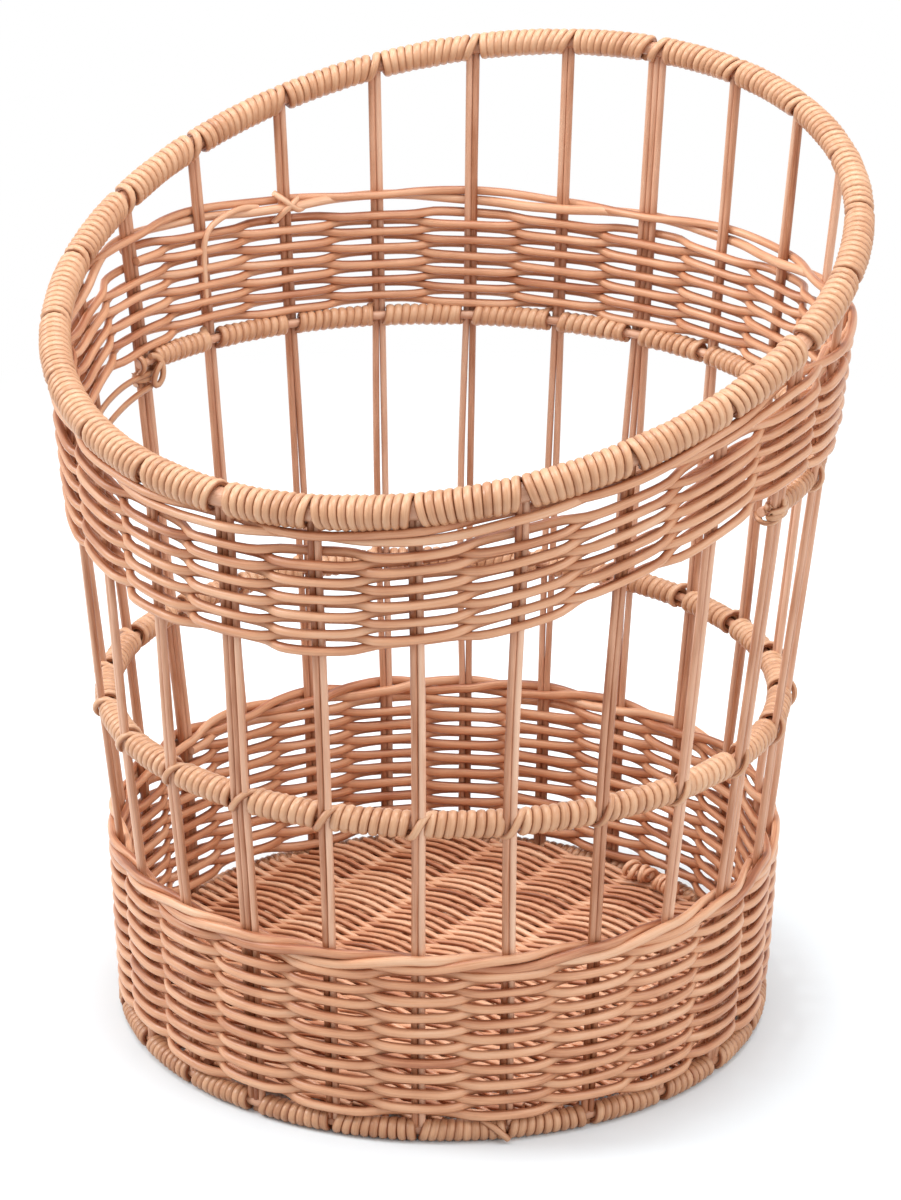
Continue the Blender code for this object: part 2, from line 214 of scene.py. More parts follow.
def new_tree(name, inputs):
    tree = bpy.data.node_groups.new(name, "GeometryNodeTree")
    tree.interface.new_socket("Geometry", in_out="INPUT", socket_type="NodeSocketGeometry")
    for label, kind in inputs:
        tree.interface.new_socket(label, in_out="INPUT", socket_type="NodeSocket" + kind)
    tree.interface.new_socket("Geometry", in_out="OUTPUT", socket_type="NodeSocketGeometry")
    return tree, tree.nodes.new("NodeGroupInput").outputs, tree.nodes.new("NodeGroupOutput")


def named(tree, name, kind="FLOAT"):
    return add(tree, "GeometryNodeInputNamedAttribute", {"Name": name}, data_type=kind)


def stored(tree, geometry, name, value, kind="FLOAT"):
    return add(tree, "GeometryNodeStoreNamedAttribute", {"Geometry": geometry, "Name": name, "Value": value},
               data_type=kind, domain="POINT")


def swept(tree, curve, given):
    """Nodes that sweep an oval strand along a curve whose points say where the strand's flat side faces."""
    turned = add(tree, "GeometryNodeSetCurveNormal", {"Curve": curve, "Normal": named(tree, "face", "FLOAT_VECTOR")},
                 mode="FREE")
    measured = stored(tree, turned, "along", add(tree, "GeometryNodeSplineParameter").outputs["Length"])
    circle = add(tree, "GeometryNodeCurvePrimitiveCircle", {"Resolution": given["Sides"], "Radius": 1.0})
    around = stored(tree, circle, "section", add(tree, "GeometryNodeInputPosition"), "FLOAT_VECTOR")
    across = add(tree, "ShaderNodeCombineXYZ", {
        "X": calc(tree, "MULTIPLY", given["Thickness"], 0.5), "Y": calc(tree, "MULTIPLY", given["Width"], 0.5),
        "Z": 1.0})
    oval = add(tree, "GeometryNodeTransform", {"Geometry": around, "Scale": across})
    skin = add(tree, "GeometryNodeCurveToMesh", {
        "Curve": measured, "Profile Curve": oval, "Scale": named(tree, "girth"), "Fill Caps": True})
    smooth = add(tree, "GeometryNodeSetShadeSmooth", {"Geometry": skin})
    real = add(tree, "GeometryNodeRealizeInstances", {"Geometry": smooth})
    return add(tree, "GeometryNodeSetMaterial", {"Geometry": real, "Material": given["Material"]}).outputs[0]


STRAND_INPUTS = [("Width", "Float"), ("Thickness", "Float"), ("Sides", "Int"), ("Material", "Material")]
WINDING_INPUTS = STRAND_INPUTS + [("Points Per Turn", "Int")] + [(label, "Float") for label in (
    "Core Radius", "Turn Width", "Foot Gap", "Top Gap", "Crossing", "Outside Share", "Unevenness", "Seed")]


def strand_tree():
    """A strand of cane along each line of the piece."""
    tree, given, result = new_tree("cane_strand", STRAND_INPUTS)
    curve = add(tree, "GeometryNodeMeshToCurve", {"Mesh": given["Geometry"]})
    tree.links.new(swept(tree, curve, given), result.inputs[0])
    return tree


def winding_tree():
    """Close turns of strand round each line of the piece. A turn rises on the outside and comes down on the
    inside, and gains the Outside Share of its width on the outside. Foot Gap and Top Gap are the widths left
    open at the line's ends, under and on top of the rod, so that the last turns fan out round a stake. With a
    Crossing of 1 the last turn passes the stake to where the next line starts. The line's girth swells the rod
    inside."""
    tree, given, result = new_tree("close_winding", WINDING_INPUTS)
    curve = add(tree, "GeometryNodeMeshToCurve", {"Mesh": given["Geometry"]})
    length = add(tree, "GeometryNodeSplineLength").outputs["Length"]
    # how many turns fit, and where the first one starts under and on top of the rod
    gaps = calc(tree, "ADD", given["Foot Gap"], given["Top Gap"])
    room = calc(tree, "MULTIPLY_ADD", gaps, -0.5, length)
    turns = calc(tree, "ROUND", calc(tree, "DIVIDE", room, given["Turn Width"]))
    steps = calc(tree, "SUBTRACT", turns, 1.0)
    half_turn = calc(tree, "MULTIPLY", given["Turn Width"], 0.5)
    gained = calc(tree, "MULTIPLY", given["Turn Width"], given["Outside Share"])
    starts, pitches = [], []
    for gap, lean in (("Foot Gap", -0.5), ("Top Gap", 0.5)):
        start = calc(tree, "MULTIPLY_ADD", given[gap], 0.5, half_turn)
        span = calc(tree, "MULTIPLY_ADD", start, -2.0, length)
        starts.append(calc(tree, "MULTIPLY_ADD", gained, lean, start))
        pitches.append(calc(tree, "DIVIDE", span, steps))
    count = calc(tree, "MULTIPLY_ADD", turns, given["Points Per Turn"], 1.0)
    fine = add(tree, "GeometryNodeResampleCurve", {"Curve": curve, "Count": count})
    # which turn a point belongs to, and how far round it is
    index = add(tree, "GeometryNodeSplineParameter").outputs["Index"]
    wound = calc(tree, "DIVIDE", index, given["Points Per Turn"])
    turn = calc(tree, "FLOOR", wound)
    share = calc(tree, "SUBTRACT", wound, turn)
    angle = calc(tree, "MULTIPLY_ADD", share, 2 * math.pi, -math.pi / 2)
    # places along the rod: under it, on top of it, and under it a turn on, which may be past the next stake
    under = calc(tree, "MULTIPLY_ADD", turn, pitches[0], starts[0])
    above = calc(tree, "MULTIPLY_ADD", turn, pitches[1], starts[1])
    next_turn = calc(tree, "ADD", turn, 1.0)
    after = calc(tree, "MULTIPLY_ADD", next_turn, pitches[0], starts[0])
    past = calc(tree, "ADD", length, starts[0])
    crossing = calc(tree, "MULTIPLY", calc(tree, "GREATER_THAN", next_turn, steps), given["Crossing"])
    after = add(tree, "ShaderNodeMix", {0: crossing, 2: after, 3: past})
    crossed = calc(tree, "MULTIPLY", calc(tree, "GREATER_THAN", turn, steps), given["Crossing"])
    under = add(tree, "ShaderNodeMix", {0: crossed, 2: under, 3: past})
    rising = add(tree, "ShaderNodeMapRange", {"Value": share, "From Max": 0.5, "To Min": under, "To Max": above},
                 interpolation_type="SMOOTHSTEP")
    falling = add(tree, "ShaderNodeMapRange", {
        "Value": share, "From Min": 0.5, "From Max": 1.0, "To Min": 0.0,
        "To Max": calc(tree, "SUBTRACT", after, above)}, interpolation_type="SMOOTHSTEP")
    # no turn lies quite where it should
    jitter = add(tree, "ShaderNodeTexNoise", {
        "Vector": add(tree, "GeometryNodeInputPosition"), "W": given["Seed"], "Scale": 90.0, "Detail": 1.0},
        noise_dimensions="4D")
    centred = calc(tree, "SUBTRACT", jitter, 0.5)
    wanted = calc(tree, "MULTIPLY_ADD", centred, given["Unevenness"], calc(tree, "ADD", rising, falling))
    shift = calc(tree, "SUBTRACT", wanted, add(tree, "GeometryNodeSplineParameter").outputs["Length"])
    # directions round the rod
    tangent = add(tree, "GeometryNodeInputTangent")
    upward = vector(tree, "NORMALIZE", vector(
        tree, "CROSS_PRODUCT", named(tree, "face", "FLOAT_VECTOR"), tangent))
    sideways = vector(tree, "CROSS_PRODUCT", tangent, upward)
    facing = vector(tree, "ADD", scaled(tree, sideways, calc(tree, "COSINE", angle)),
                    scaled(tree, upward, calc(tree, "SINE", angle)))
    faced = stored(tree, fine, "face", facing, "FLOAT_VECTOR")
    # every turn lies a little deeper or prouder than the next
    proud = calc(tree, "MULTIPLY_ADD", centred, given["Unevenness"], calc(tree, "MULTIPLY", given["Thickness"], 0.5))
    reach = calc(tree, "MULTIPLY_ADD", given["Core Radius"], named(tree, "girth"), proud)
    away = scaled(tree, named(tree, "face", "FLOAT_VECTOR"), reach)
    slid = scaled(tree, add(tree, "GeometryNodeInputTangent"), shift)
    placed = add(tree, "GeometryNodeSetPosition", {"Geometry": faced, "Offset": vector(tree, "ADD", away, slid)})
    tree.links.new(swept(tree, stored(tree, placed, "girth", 1.0), given), result.inputs[0])
    return tree


CANE_STRAND = strand_tree()
CLOSE_WINDING = winding_tree()


def made(name, strands, tree, replaced, slot, **sizes):
    """Runs a tree over lines, each (points, faces, girth, tone), and keeps the result as a plain piece."""
    counts = [len(strand[0]) for strand in strands]
    starts = np.cumsum([0] + counts[:-1])
    edges = [(int(s) + i, int(s) + i + 1) for s, n in zip(starts, counts) for i in range(n - 1)]
    mesh = bpy.data.meshes.new(name + "_lines")
    mesh.from_pydata(np.concatenate([strand[0] for strand in strands]).tolist(), edges, [])
    face, girth, tone = [np.concatenate([np.broadcast_to(strand[k], (n, 3) if k == 1 else n)
                                         for strand, n in zip(strands, counts)]) for k in (1, 2, 3)]
    grain = np.repeat(rng.uniform(0, 9, len(strands)), counts)
    mesh.attributes.new("face", "FLOAT_VECTOR", "POINT").data.foreach_set("vector", face.ravel())
    for label, values in (("girth", girth), ("tone", tone), ("grain", grain)):
        mesh.attributes.new(label, "FLOAT", "POINT").data.foreach_set("value", values)
    lines = bpy.data.objects.new(name + "_lines", mesh)
    bpy.context.scene.collection.objects.link(lines)
    modifier = lines.modifiers.new("cane", "NODES")
    modifier.node_group = tree
    for item in tree.interface.items_tree:
        if item.in_out == "INPUT" and item.name in sizes:
            modifier[item.identifier] = sizes[item.name]
    graph = bpy.context.evaluated_depsgraph_get()
    piece = bpy.data.objects.new(name, bpy.data.meshes.new_from_object(lines.evaluated_get(graph)))
    bpy.data.objects.remove(lines)
    bpy.context.scene.collection.objects.link(piece)
    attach(piece, "root")
    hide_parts(*replaced)


def stranded(name, strands, replaced, slot, material, width=STRAND, thickness=STRAND_THICK, sides=10):
    made(name, strands, CANE_STRAND, replaced, slot, Width=width, Thickness=thickness, Sides=sides, Material=material)


# ---------------------------------------------------------------- the basket's wall, as in the CAD source

def on_ring(azimuth, radius, height):
    azimuth, radius, height = np.broadcast_arrays(np.asarray(azimuth, float), radius, height)
    return np.stack([radius * np.cos(azimuth), radius * np.sin(azimuth) + AXIS_Y, height], -1)


def outward(azimuth):
    azimuth = np.asarray(azimuth, float)
    return np.stack([np.cos(azimuth), np.sin(azimuth), np.zeros_like(azimuth)], -1)


def sideward(azimuth):
    return np.array([-math.sin(azimuth), math.cos(azimuth), 0.0])


def rim_at(azimuth):
    """Radius and height of the rim's middle, seen from the foot's axis."""
    depth = RIM_RADIUS * math.cos(RIM_TILT)
    across, along = np.cos(azimuth), np.sin(azimuth)
    a = (across / RIM_RADIUS) ** 2 + (along / depth) ** 2
    b = -2 * RIM_LEAD * along / depth ** 2
    c = (RIM_LEAD / depth) ** 2 - 1
    radius = (np.sqrt(b * b - 4 * a * c) - b) / (2 * a)
    return radius, RIM_HEIGHT + (radius * along - RIM_LEAD) * math.tan(RIM_TILT)


def wall_radius(azimuth, height):
    """Radius of the stakes' middle lines."""
    rim_radius, rim_height = rim_at(azimuth)
    lower = np.interp(height, [FOOT_HEIGHT, LOWER_BAND_TOP, HOOP_HEIGHT],
                      [FOOT_RADIUS, LOWER_BAND_RADIUS, HOOP_RADIUS])
    upper = HOOP_RADIUS + (rim_radius - HOOP_RADIUS) * (height - HOOP_HEIGHT) / (rim_height - HOOP_HEIGHT)
    return np.where(height < HOOP_HEIGHT, lower, upper)


def upper_top(azimuth):
    """Top of the upper band, which runs level until it has to bend down under the rim."""
    limit = rim_at(azimuth)[1] - RIM_OUTER - RIM_CLEARANCE
    return -BAND_EASE * np.log(np.exp(-UPPER_TOP / BAND_EASE) + np.exp(-limit / BAND_EASE))


def rods_in(stake):
    return 3 if stake % HEAVY_EVERY == 0 else 2


def eased(share):
    share = np.clip(share, 0, 1)
    return share * share * (3 - 2 * share)


def wander(count, size, rough=6):
    """A slow random walk about zero, for the unevenness of hand work."""
    knots = rng.normal(0, size, max(2, count // rough + 2))
    return np.interp(np.linspace(0, len(knots) - 1, count), np.arange(len(knots)), knots)


# ---------------------------------------------------------------- stakes

STAKE_NAMES = {0: "heavy_stake_right", 6: "heavy_stake_back", 12: "heavy_stake_left", 18: "heavy_stake_front"}
STAKE_POINTS = 80
ROD_BENDS = 12                    # points between two chance bends of a rod
BARE_END = 0.06                   # up to this far below the upper band's usual top the rods stand apart
COVERED_DEPTH = 0.056             # the upper band's depth
COVERED_FADE = 0.006
COVERED_SHADE = 0.3                # how much darker a rod is painted where the weave covers it: painted shade


def stake_rods(stake):
    """Two or three rods side by side; round the back they bow slightly apart between the bands. Where the
    weave covers them they are painted darker, as painted shade."""
    azimuth = stake * STEP
    heights = np.linspace(FOOT_HEIGHT + ROD / 2, rim_at(azimuth)[1] - 0.001, STAKE_POINTS)
    free = np.clip((heights - LOWER_BAND_TOP) / (UPPER_TOP - BARE_END - LOWER_BAND_TOP), 0, 1)
    bow = np.sin(np.pi * free) * (rng.uniform(0.0002, 0.0008) if 0 < stake < 12 else 0)
    sway = np.sin(np.pi * free) * rng.normal(0, 0.0008)
    top = upper_top(azimuth)
    under_lower = np.clip((LOWER_BAND_TOP - heights) / COVERED_FADE, 0, 1)
    under_upper = np.clip(np.minimum(heights - top + COVERED_DEPTH, top + 0.002 - heights) / COVERED_FADE, 0, 1)
    # painted shade on the rods where the weave covers and shades them
    covered_shade = COVERED_SHADE * under_lower + COVERED_SHADE * under_upper
    strands = []
    for rod in range(rods_in(stake)):
        side = (rod - (rods_in(stake) - 1) / 2) * (ROD_SPACING + 2 * bow) + sway
        side = side + wander(STAKE_POINTS, 0.00008, ROD_BENDS)
        radius = wall_radius(azimuth, heights) + wander(STAKE_POINTS, 0.0001, ROD_BENDS)
        points = on_ring(azimuth, radius, heights) + sideward(azimuth) * side[:, None]
        strands.append((points, outward(azimuth), 1.0, rng.uniform(0, 1) - covered_shade))
    return strands


for stake in range(STAKE_COUNT):
    node = STAKE_NAMES.get(stake, "stake_%02d" % stake)
    stranded("rods_of_" + node, stake_rods(stake), [node], "cane_rods", rod_cane, ROD, ROD, 12)


# ---------------------------------------------------------------- woven bands

ROW_WANDER = 0.0003               # how far a strand strays from its row's height
REACH_WANDER = 0.00016            # how far it strays from the stakes
GIRTH_WANDER = 0.05
TONE_WANDER = 0.15


def woven(turned, height_of, swing, tone):
    """A strand that runs round the stakes. turned counts the stakes passed; swing is 1 outside and -1 inside."""
    azimuth = turned * STEP
    count = len(azimuth)
    height = height_of(azimuth) + wander(count, ROW_WANDER)
    reach = np.where(np.round(turned).astype(int) % HEAVY_EVERY == 0, HEAVY_SWING, SWING)
    radius = wall_radius(azimuth, height) + swing * reach + wander(count, REACH_WANDER, 5)
    girth = 1 + wander(count, GIRTH_WANDER, 20)
    return on_ring(azimuth, radius, height), outward(azimuth), girth, tone + wander(count, TONE_WANDER, 60)


def chasing_pair(rows, pitch, first, bend):
    """Two strands that chase each other round the stakes, a row apart. pitch and first give the height of a
    row and of the first row at an azimuth."""
    strands = []
    for phase in (0, 1):
        passed = np.arange((3 + phase) * STEPS, ((rows + 1 - phase) // 2 * STAKE_COUNT + 2) * STEPS + 1) / STEPS
        turn = np.floor(passed / STAKE_COUNT)
        climb = eased((passed - turn * STAKE_COUNT) / CLIMB)
        row = np.where(turn > 0, 2 * (turn - 1 + climb), 0) + phase
        swing = -np.tanh(bend * np.cos(np.pi * (passed + phase))) / math.tanh(bend)
        strands.append(woven(passed + SEAM, lambda a: first(a) + row * pitch(a), swing, rng.uniform(0.45, 0.55)))
    return strands


def lower_border_middle(azimuth):
    return LOWER_BAND_TOP - STRAND + 0 * azimuth


def upper_border_middle(azimuth):
    sunk = np.clip(np.sin(azimuth - UPPER_SAG_AZIMUTH), 0, 1)
    return upper_top(azimuth) - UPPER_BORDER_DROP - UPPER_SAG * sunk


# how much the rows of the upper band are packed together, in millimetres at an azimuth; on the left they are looser
SLACK_AT = (0, 30, 60, 150, 180, 200, 230, 255, 285, 304, 330, 350, 360)
SLACK = (4.5, 2.5, 0, 0, -2.5, -4.5, -4.5, -3.0, -1.0, 0, 2.5, 4.5, 4.5)


def upper_pitch(azimuth):
    slack = np.interp(np.degrees(azimuth) % 360, SLACK_AT, SLACK) / 1000
    return UPPER_PITCH - slack / (UPPER_ROWS - 1)


def upper_first(azimuth):
    return upper_border_middle(azimuth) - UPPER_BORDER_ROOM - (UPPER_ROWS - 1) * upper_pitch(azimuth)


stranded("lower_rows",
         chasing_pair(LOWER_ROWS, lambda azimuth: LOWER_PITCH, lambda azimuth: LOWER_START, LOWER_BEND),
         ["lower_weaver_a", "lower_weaver_b"], "cane_weave", weave_cane)
stranded("upper_rows", chasing_pair(UPPER_ROWS, upper_pitch, upper_first, UPPER_BEND),
         ["upper_weaver_a", "upper_weaver_b"], "cane_weave", weave_cane, UPPER_STRAND, UPPER_STRAND)


def border_strand(middle, phase, rise):
    """A strand that passes behind one stake and then in front of two, low at the first and high at the second."""
    passed = phase + np.arange(STAKE_COUNT * STEPS + 1) / STEPS
    place = (passed - phase) % 3
    step, share = np.floor(place), place - np.floor(place)
    lift = np.select([step == 0, step == 1], [-eased(2 * share), 2 * eased(share) - 1], 1 - eased(2 * share - 1))
    swing = np.select([step == 0, step == 1], [2 * eased(share) - 1, 1.0], 1 - 2 * eased(share))
    return woven(passed, lambda a: middle(a) + rise * lift, swing, rng.uniform(0.3, 0.9))


for phase, letter in enumerate("abc"):
    stranded("lower_border_" + letter, [border_strand(lower_border_middle, phase, STRAND / 2)],
             ["lower_wale_" + letter], "cane_weave", weave_cane)
for phase, letter in enumerate("ab"):
    level = BORDER_HALF_GAP * (1 - 2 * phase)
    stranded("upper_edge_" + letter,
             [border_strand(lambda a: upper_border_middle(a) + level, phase, BORDER_RISE)],
             ["upper_border_" + letter], "cane_weave", weave_cane, UPPER_STRAND, UPPER_STRAND)


# ---------------------------------------------------------------- hoops and their binding

HALVES = (("left", 6, 18), ("right", 18, 30))       # the first and last stake of each length of binding
RUN_POINTS = 15
TURN_POINTS = 14
BINDING_SIDES = 8
UNEVENNESS = 0.0009


def rim_line(azimuth):
    return on_ring(azimuth, *rim_at(azimuth))


def foot_line(azimuth):
    return on_ring(azimuth, FOOT_RADIUS, FOOT_HEIGHT)


def inside_line(height):
    """A hoop that lies against the inside of the stakes."""
    return lambda azimuth: on_ring(azimuth, wall_radius(azimuth, height + 0 * azimuth) - ROD / 2 - HOOP_SEAT, height)


lower_line = inside_line(HOOP_HEIGHT)
half_line = inside_line(HALF_HOOP_HEIGHT)


def even(azimuth):
    return 1.0


def rim_swell(azimuth):
    """The rim's rods are thickest on the low side, where their ends overlap."""
    return 1 + 0.16 * np.cos(azimuth - math.radians(280))


def hoop_swell(azimuth):
    """So are the rods of the lower hoop."""
    return 1 + 0.12 * np.cos(azimuth - math.radians(290))


def hoop_rod(name, line, first, last, node, diameter, swell=even):
    azimuth = np.linspace(first, last, 10 * (round(last - first)) + 1) * STEP
    strand = (line(azimuth), outward(azimuth), swell(azimuth), rng.uniform(0.2, 0.6))
    stranded(name, [strand], [node], "cane_rods", rod_cane, diameter, diameter, 14)


def bound(name, line, first, last, node, core, foot_gap, top_gap, crossing=0.0, swell=even,
          turn=TURN, loose=0.0, slant=0.5, tone=0.55):
    """Binds a hoop from stake to stake, and leaves more room at the heavy stakes. core is the radius that is
    bound, and slant is the share of a turn's width that it gains on the outside. Where the work is loose the
    gaps at the stakes differ."""
    room = [(HEAVY_ROOM if rods_in(stake) == 3 else 0.0) + rng.uniform(-loose, loose)
            for stake in range(first, last + 1)]
    runs = []
    for stake in range(first, last):
        ends = stake + room[stake - first], stake + 1 - room[stake + 1 - first]
        azimuth = np.linspace(*ends, RUN_POINTS) * STEP
        runs.append((line(azimuth), outward(azimuth), swell(azimuth), tone + rng.normal(0, 0.06)))
    made(name, runs, CLOSE_WINDING, [node], "cane_binding", **{
        "Width": turn + TURN_OVERLAP, "Thickness": BINDING_THICK, "Sides": BINDING_SIDES, "Material": binding_cane,
        "Core Radius": core, "Turn Width": turn, "Points Per Turn": TURN_POINTS, "Foot Gap": foot_gap,
        "Top Gap": top_gap, "Crossing": crossing, "Outside Share": slant, "Unevenness": UNEVENNESS,
        "Seed": float(first)})


hoop_rod("rim_rod", rim_line, 0, 24, "rim_hoop", RIM_ROD, rim_swell)
for side, first, last in HALVES:
    bound("rim_binding_" + side, rim_line, first, last, "rim_wrap_" + side, core=0.0040, foot_gap=0.0064,
          top_gap=0.0010, crossing=1.0, swell=rim_swell, turn=RIM_TURN, loose=0.012, slant=0.15)
hoop_rod("foot_rod", foot_line, 0, 24, "foot_hoop", FOOT_ROD)
# the foot's binding has a low tone, so it is painted darker than the other bindings: painted shade on the low foot,
# which gets less light from above
bound("foot_binding", foot_line, 0, 24, "foot_wrap", core=0.0021, foot_gap=0.0014, top_gap=0.0046, crossing=1.0,
      turn=FOOT_TURN, loose=0.03, slant=0.2, tone=0.32)
hoop_rod("lower_hoop_rod", lower_line, 0, 24, "lower_hoop", LOWER_HOOP_ROD, hoop_swell)
hoop_rod("half_hoop_rod", half_line, -0.15, 12.15, "half_hoop", HALF_HOOP_ROD)
for side, first, last in HALVES:
    bound("lower_hoop_binding_" + side, lower_line, first, last, "lower_hoop_wrap_" + side, core=0.0029,
          foot_gap=0.0074, top_gap=0.0074, swell=hoop_swell)
bound("half_hoop_binding", half_line, 0, 12, "half_hoop_wrap", core=0.0022, foot_gap=0.0078, top_gap=0.0078)


LASHING_ANGLES = [-165, -90, 0, 80, 180, 250]       # degrees round the hoop: 0 is outside and 90 on top
LASHING_SHIFTS = [-0.7, -1.0, 0.0, 1.0, 1.15, 1.1]  # how far the strand is then along the hoop
LASHING_SIDE = 0.0052                               # half the way past a stake
LASHING_CLEAR = 0.0068                              # from the hoop's middle to the strand outside a stake
LASHING_LIFT = 0.0014


def round_hoop(line, turned, angle, reach):
    """Points round a hoop: turned counts stakes along it, angle is 0 outside and a quarter turn on top."""
    azimuth = np.asarray(turned) * STEP
    facing = np.cos(angle)[:, None] * outward(azimuth) + np.sin(angle)[:, None] * np.array([0, 0, 1.0])
    return line(azimuth) + facing * np.asarray(reach)[:, None], facing


def lashing(line, stake, core, tone):
    """The binding strand between two runs: from under the hoop it climbs across the stake on the outside,
    passes over the hoop beyond the stake and goes down inside."""
    angle = np.linspace(LASHING_ANGLES[0], LASHING_ANGLES[-1], 34)
    side = LASHING_SIDE + 0.0015 * (rods_in(stake) - 2)
    shift = np.interp(angle, LASHING_ANGLES, LASHING_SHIFTS) * side
    outside = np.clip(np.cos(np.radians(angle)), 0, 1)
    near = core + LASHING_LIFT
    reach = near + (LASHING_CLEAR - near) * outside ** 0.7 * (np.abs(angle) < 90)
    radius = np.hypot(*(line(np.array(stake * STEP))[:2] - [0, AXIS_Y]))
    points, facing = round_hoop(line, stake + shift / radius / STEP, np.radians(angle), reach)
    return points, facing, 1.0, tone


def lashings(name, line, stakes, node, core):
    strands = [lashing(line, stake, core, rng.uniform(0.4, 0.8)) for stake in stakes]
    stranded(name, strands, [node], "cane_binding", binding_cane, 0.0036, 0.0026, 8)


for side, first, last in HALVES:
    lashings("lower_lashings_" + side, lower_line, range(first + 1, last + 1), "lower_hoop_wrap_" + side, 0.0031)
lashings("half_hoop_lashings", half_line, range(0, 13), "half_hoop_wrap", 0.0022)


# ---------------------------------------------------------------- knots and loose ends

def smoothed(points, count):
    """A round-cornered line through a few points."""
    curve = np.asarray(points, float)
    for _ in range(3):
        near, far = curve[:-1] * 0.75 + curve[1:] * 0.25, curve[:-1] * 0.25 + curve[1:] * 0.75
        curve = np.concatenate([curve[:1], np.stack([near, far], 1).reshape(-1, 3), curve[-1:]])
    length = np.concatenate([[0], np.cumsum(np.linalg.norm(np.diff(curve, axis=0), axis=1))])
    steps = np.linspace(0, length[-1], count)
    return np.stack([np.interp(steps, length, curve[:, k]) for k in range(3)], -1)


def inside_wall(turned, height, depth):
    """Places on the inside of the wall, depth in from the stakes' middle lines."""
    azimuth = np.asarray(turned, float) * STEP
    height = np.asarray(height, float)
    return on_ring(azimuth, wall_radius(azimuth, height) - np.asarray(depth), height)


# the way of the strand through the eye: stakes along the wall, metres down and metres in
EYE = ((-0.02, -0.003, 0.0060), (0.05, -0.003, 0.0075), (0.11, 0.001, 0.0085), (0.11, 0.008, 0.0080),
       (0.04, 0.012, 0.0065), (-0.02, 0.010, 0.0060), (0.00, 0.004, 0.0080), (0.08, 0.001, 0.0085))


def knot_turns(stake, way, low):
    """Where the half hoop ends, the binding strand circles the heavy stake twice, this low under the hoop."""
    angle = np.linspace(-0.2, 4 * math.pi, 44)
    azimuth = stake * STEP
    height = HALF_HOOP_HEIGHT - low - 0.0050 * angle / angle[-1]
    centre = on_ring(azimuth, wall_radius(azimuth, height), height)
    along = 0.0062 * np.cos(angle)[:, None] * sideward(azimuth) * way
    return centre + along - 0.0033 * np.sin(angle)[:, None] * outward(azimuth), outward(azimuth), 1.0, 0.5


def knot_eye(stake, way):
    """On the left the strand is tucked away in an eye beside the stake."""
    points = [inside_wall(stake - way * turned, HALF_HOOP_HEIGHT - drop, depth) for turned, drop, depth in EYE]
    return smoothed(points, 30), outward(stake * STEP), 1.0, 0.6


def tail(drops):
    """A tail of the half hoop, which runs on past the heavy stake and is tucked behind another one."""
    points = [inside_wall(turned, HALF_HOOP_HEIGHT - drop, 0.0036)
              for turned, drop in zip((12.0, 12.5, 13.2, 13.95), drops)]
    return smoothed(points, 30), outward(12.8 * STEP), 1.0, rng.uniform(0.2, 0.6)


stranded("half_hoop_knots", [
    knot_turns(12, 1, 0.0055), knot_eye(12, 1), knot_turns(0, -1, -0.0030), tail((0.006, 0.005, 0.009, 0.020)),
    tail((0.012, 0.014, 0.019, 0.024))], ["half_hoop_wrap"], "cane_binding", binding_cane, 0.0032, 0.0026, 8)


def loose_end(turned, angles, lift):
    """The cut end of the foot's binding, which sticks out a little over the neighbouring turns."""
    angle = np.radians(np.linspace(*angles, 14))
    reach = 0.0050 + lift * np.linspace(0, 1, 14) ** 2
    return *round_hoop(foot_line, np.linspace(*turned, 14), angle, reach), 1.0, 0.4


stranded("foot_loose_end", [loose_end((20.72, 21.0), (75, -24), 0.0016)], ["foot_wrap"], "cane_binding",
         binding_cane, 0.0032, 0.0024, 8)


def tucked(stations):
    """The end of a woven strand, which is turned down and pushed in along a stake. The stations are stakes
    along the wall, metres below the band's top and metres in."""
    points = [inside_wall(turned, upper_top(turned * STEP) - drop, depth) for turned, drop, depth in stations]
    return smoothed(points, 24), outward(stations[-1][0] * STEP), 1.0, 0.9


stranded("upper_tucked_ends", [
    tucked(((10.30, 0.006, 0.0000), (10.50, 0.004, 0.0020), (10.80, 0.006, 0.0046), (11.00, 0.010, 0.0056),
            (11.06, 0.018, 0.0052), (11.06, 0.030, 0.0042), (11.05, 0.044, 0.0030))),
    tucked(((9.74, 0.006, 0.0000), (9.86, 0.009, 0.0040), (9.96, 0.006, 0.0060), (10.06, 0.002, 0.0052),
            (10.12, 0.000, 0.0010))),
    tucked(((10.14, 0.014, 0.0010), (10.06, 0.008, 0.0056), (9.94, 0.004, 0.0056), (9.86, 0.003, 0.0020)))],
    ["upper_border_a"], "cane_weave", weave_cane, 0.0030, 0.0028, 8)


# ---------------------------------------------------------------- floor

MAT_WAVE = 0.0026                 # how far a floor strand's middle is above or below that of a stick
MAT_MARGIN = 0.985                # the outermost strand is at this share of the edge's radius
COIL_RADIUS = 0.1300
COIL_HEIGHT = 0.0172
UPRIGHT = (0, 0, 1)


def floor_strands():
    """Thin strands that pass over and under the sticks, alternately."""
    strands = []
    for row in range(MAT_ROWS):
        y = MAT_EDGE * MAT_MARGIN * ((row + 0.5) / MAT_ROWS * 2 - 1)
        half = math.sqrt(MAT_EDGE ** 2 - y * y)
        count = max(8, int(half / 0.003))
        x = np.linspace(-half, half, count)
        z = MAT_HEIGHT + MAT_WAVE * np.cos(np.pi * x / STICK_SPACING) * (-1) ** row + wander(count, 0.0001)
        points = np.stack([x, np.full(count, y + AXIS_Y) + wander(count, 0.0002), z], -1)
        strands.append((points, UPRIGHT, 1.0, rng.uniform(0, 1)))
    return strands


def edge_coil(*azimuths):
    """A strand wound loosely along the floor's edge, between two azimuths in degrees."""
    azimuth = np.radians(np.linspace(*azimuths, 14))
    line = on_ring(azimuth, COIL_RADIUS + wander(14, 0.0008), COIL_HEIGHT + wander(14, 0.0005))
    return line, outward(azimuth), 1.0, 0.9


